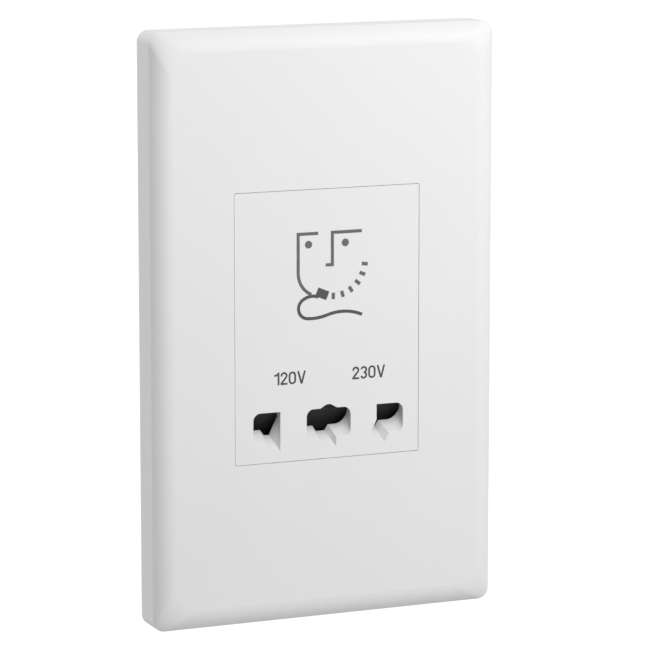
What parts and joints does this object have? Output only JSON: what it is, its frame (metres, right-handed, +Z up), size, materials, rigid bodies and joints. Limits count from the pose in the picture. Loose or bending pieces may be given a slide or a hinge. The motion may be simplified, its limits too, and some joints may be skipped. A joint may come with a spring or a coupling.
{
  "type": "shaver socket",
  "caption": "Wall-mounted shaver socket: a bevelled plate round a flush panel with shuttered pin apertures, a plug-worked switch and an isolating transformer in a rear case.",
  "frame": {"origin": "middle of the plate, in the plane of the wall, midway between the wall-box screws", "axes": "+X to the right seen from the front, +Y into the wall, +Z up"},
  "size_m": [0.09, 0.0454, 0.146],
  "materials": {
    "plate_white": "moulded, gloss",
    "panel_white": "moulded, gloss",
    "frame_steel": "zinc plated",
    "screw_zinc": "zinc plated",
    "case_black": "moulded, fine grain",
    "shutter_black": "moulded",
    "carrier_black": "moulded",
    "contact_bronze": "sprung strip",
    "terminal_brass": "turned and sawn",
    "spring_steel": "drawn wire",
    "switch_plastic": "moulded",
    "core_steel": "stacked laminations, varnished",
    "bobbin_nylon": "moulded",
    "winding_copper": "enamelled wire",
    "cutout_plastic": "moulded",
    "block_plastic": "moulded",
    "lead_insulation": "insulated lead"
  },
  "bodies": {
    "socket": {"front_plate": "plate_white", "socket_panel": "panel_white", "mounting_frame": "frame_steel", "box_screws": "screw_zinc", "rear_case": "case_black", "case_screws": "screw_zinc", "shutter_springs": "spring_steel", "contact_carrier": "carrier_black", "contact_left": "contact_bronze", "contact_common": "contact_bronze", "contact_right": "contact_bronze", "contact_cover": "carrier_black", "carrier_screws": "screw_zinc", "switch_body": "switch_plastic", "switch_pins": "screw_zinc", "core_e_stack": "core_steel", "core_i_stack": "core_steel", "core_bolts": "screw_zinc", "bobbin": "bobbin_nylon", "primary_winding": "winding_copper", "secondary_winding": "winding_copper", "thermal_cutout": "cutout_plastic", "terminal_block": "block_plastic", "terminal_cages": "terminal_brass", "terminal_screws": "screw_zinc", "earth_post": "terminal_brass", "earth_screw": "screw_zinc", "leads": "lead_insulation"},
    "shutter": {"shutter": "shutter_black"},
    "lever": {"switch_lever": "spring_steel"},
    "plunger": {"switch_plunger": "switch_plastic"}
  },
  "joints": [
    {"name": "shutter_slide", "type": "slide", "parent": "socket", "child": "shutter", "axis": [0, 0, 1], "range_m": [0, 0.0072], "stiffness_N_per_m": 80, "springref_m": -0.004, "deforming": ["shutter_springs"]},
    {"name": "lever_hinge", "type": "hinge", "parent": "socket", "child": "lever", "pos_m": [-0.0083, -0.0051, -0.00515], "axis": [0, -1, 0], "range_deg": [0, 23.6]},
    {"name": "plunger_slide", "type": "slide", "parent": "socket", "child": "plunger", "axis": [0, 0, 1], "range_m": [0, 0.0015]}
  ],
  "couplings": [
    {"joint": "lever_hinge", "follows": "shutter_slide", "rad_per_m": 57.2},
    {"joint": "plunger_slide", "follows": "shutter_slide", "ratio": 0.2083}
  ]
}
